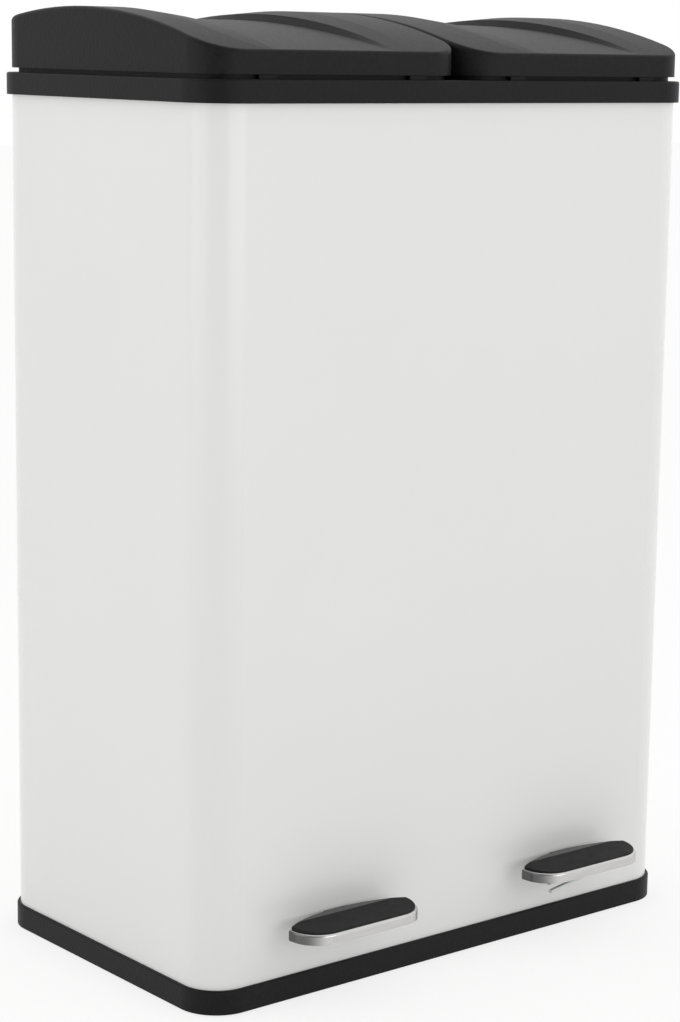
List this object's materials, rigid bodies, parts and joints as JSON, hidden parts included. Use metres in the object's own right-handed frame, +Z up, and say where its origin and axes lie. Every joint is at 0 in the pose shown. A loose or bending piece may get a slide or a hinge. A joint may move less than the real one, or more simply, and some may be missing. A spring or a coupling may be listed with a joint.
{
  "type": "recycling bin",
  "caption": "Tall two-compartment pedal bin: rounded white sheet-steel body on a black base, crowned black lids with dished finger areas, steel pedals that lift the lids.",
  "frame": {"origin": "on the floor at the middle of the body, on the sole of the middle foot", "axes": "+X to the right seen from the front, +Y to the back (hinge side), +Z up; the pedals point to -Y"},
  "size_m": [0.4334, 0.3015, 0.6595],
  "materials": {
    "white_paint": "satin white stove enamel on sheet steel",
    "black_plastic": "black, fine moulded grain",
    "pad_plastic": "smooth glossy black",
    "brushed_steel": "brushed stainless, satin",
    "zinc_steel": "bright zinc plated",
    "black_nylon": "black, smooth matt",
    "grey_plastic": "dark grey, smooth matt",
    "rubber": "black, matt"
  },
  "bodies": {
    "housing": {"body_shell": "white_paint", "base_tray": "black_plastic", "base_feet": "rubber", "top_rim": "black_plastic", "base_screws": "zinc_steel", "rim_screws": "zinc_steel", "left_lid_bumpers": "rubber", "left_rod_guide": "black_nylon", "left_slot_liner": "black_nylon", "left_pivot_pin": "zinc_steel", "left_bucket": "grey_plastic", "right_lid_bumpers": "rubber", "right_rod_guide": "black_nylon", "right_slot_liner": "black_nylon", "right_pivot_pin": "zinc_steel", "right_bucket": "grey_plastic"},
    "left_lid_unit": {"left_lid": "black_plastic", "left_hinge_pins": "zinc_steel", "left_crank_pin": "zinc_steel"},
    "left_rod_unit": {"left_push_rod": "zinc_steel", "left_rod_end": "black_nylon"},
    "left_pedal_unit": {"left_pedal_lever": "zinc_steel", "left_pedal_tread": "brushed_steel", "left_pedal_pad": "pad_plastic", "left_pedal_rivets": "zinc_steel"},
    "right_lid_unit": {"right_lid": "black_plastic", "right_hinge_pins": "zinc_steel", "right_crank_pin": "zinc_steel"},
    "right_rod_unit": {"right_push_rod": "zinc_steel", "right_rod_end": "black_nylon"},
    "right_pedal_unit": {"right_pedal_lever": "zinc_steel", "right_pedal_tread": "brushed_steel", "right_pedal_pad": "pad_plastic", "right_pedal_rivets": "zinc_steel", "wire_clip": "black_nylon"},
    "wire_unit": {"stay_wire": "zinc_steel"}
  },
  "joints": [
    {"name": "left_lid_hinge", "type": "hinge", "parent": "housing", "child": "left_lid_unit", "pos_m": [-0.1069, 0.131, 0.6205], "axis": [-1, 0, 0], "range_deg": [0, 75]},
    {"name": "left_rod_slide", "type": "slide", "parent": "housing", "child": "left_rod_unit", "axis": [0, 0, 1], "range_m": [0, 0.01779]},
    {"name": "left_pedal_hinge", "type": "hinge", "parent": "housing", "child": "left_pedal_unit", "pos_m": [-0.106, 0, 0.0385], "axis": [1, 0, 0], "range_deg": [0, 8.64]},
    {"name": "right_lid_hinge", "type": "hinge", "parent": "housing", "child": "right_lid_unit", "pos_m": [0.1069, 0.131, 0.6205], "axis": [-1, 0, 0], "range_deg": [0, 75]},
    {"name": "right_rod_slide", "type": "slide", "parent": "housing", "child": "right_rod_unit", "axis": [0, 0, 1], "range_m": [0, 0.01779]},
    {"name": "right_pedal_hinge", "type": "hinge", "parent": "housing", "child": "right_pedal_unit", "pos_m": [0.106, 0, 0.0385], "axis": [1, 0, 0], "range_deg": [0, 8.64]},
    {"name": "stay_wire_swing", "type": "hinge", "parent": "right_pedal_unit", "child": "wire_unit", "pos_m": [0.1203, -0.145, 0.045], "axis": [0, 0, 1], "range_deg": [-26, 76]}
  ],
  "couplings": [
    {"joint": "left_rod_slide", "follows": "left_lid_hinge", "m_per_rad": 0.013576},
    {"joint": "left_pedal_hinge", "follows": "left_lid_hinge", "ratio": 0.11504},
    {"joint": "right_rod_slide", "follows": "right_lid_hinge", "m_per_rad": 0.013576},
    {"joint": "right_pedal_hinge", "follows": "right_lid_hinge", "ratio": 0.11504}
  ]
}
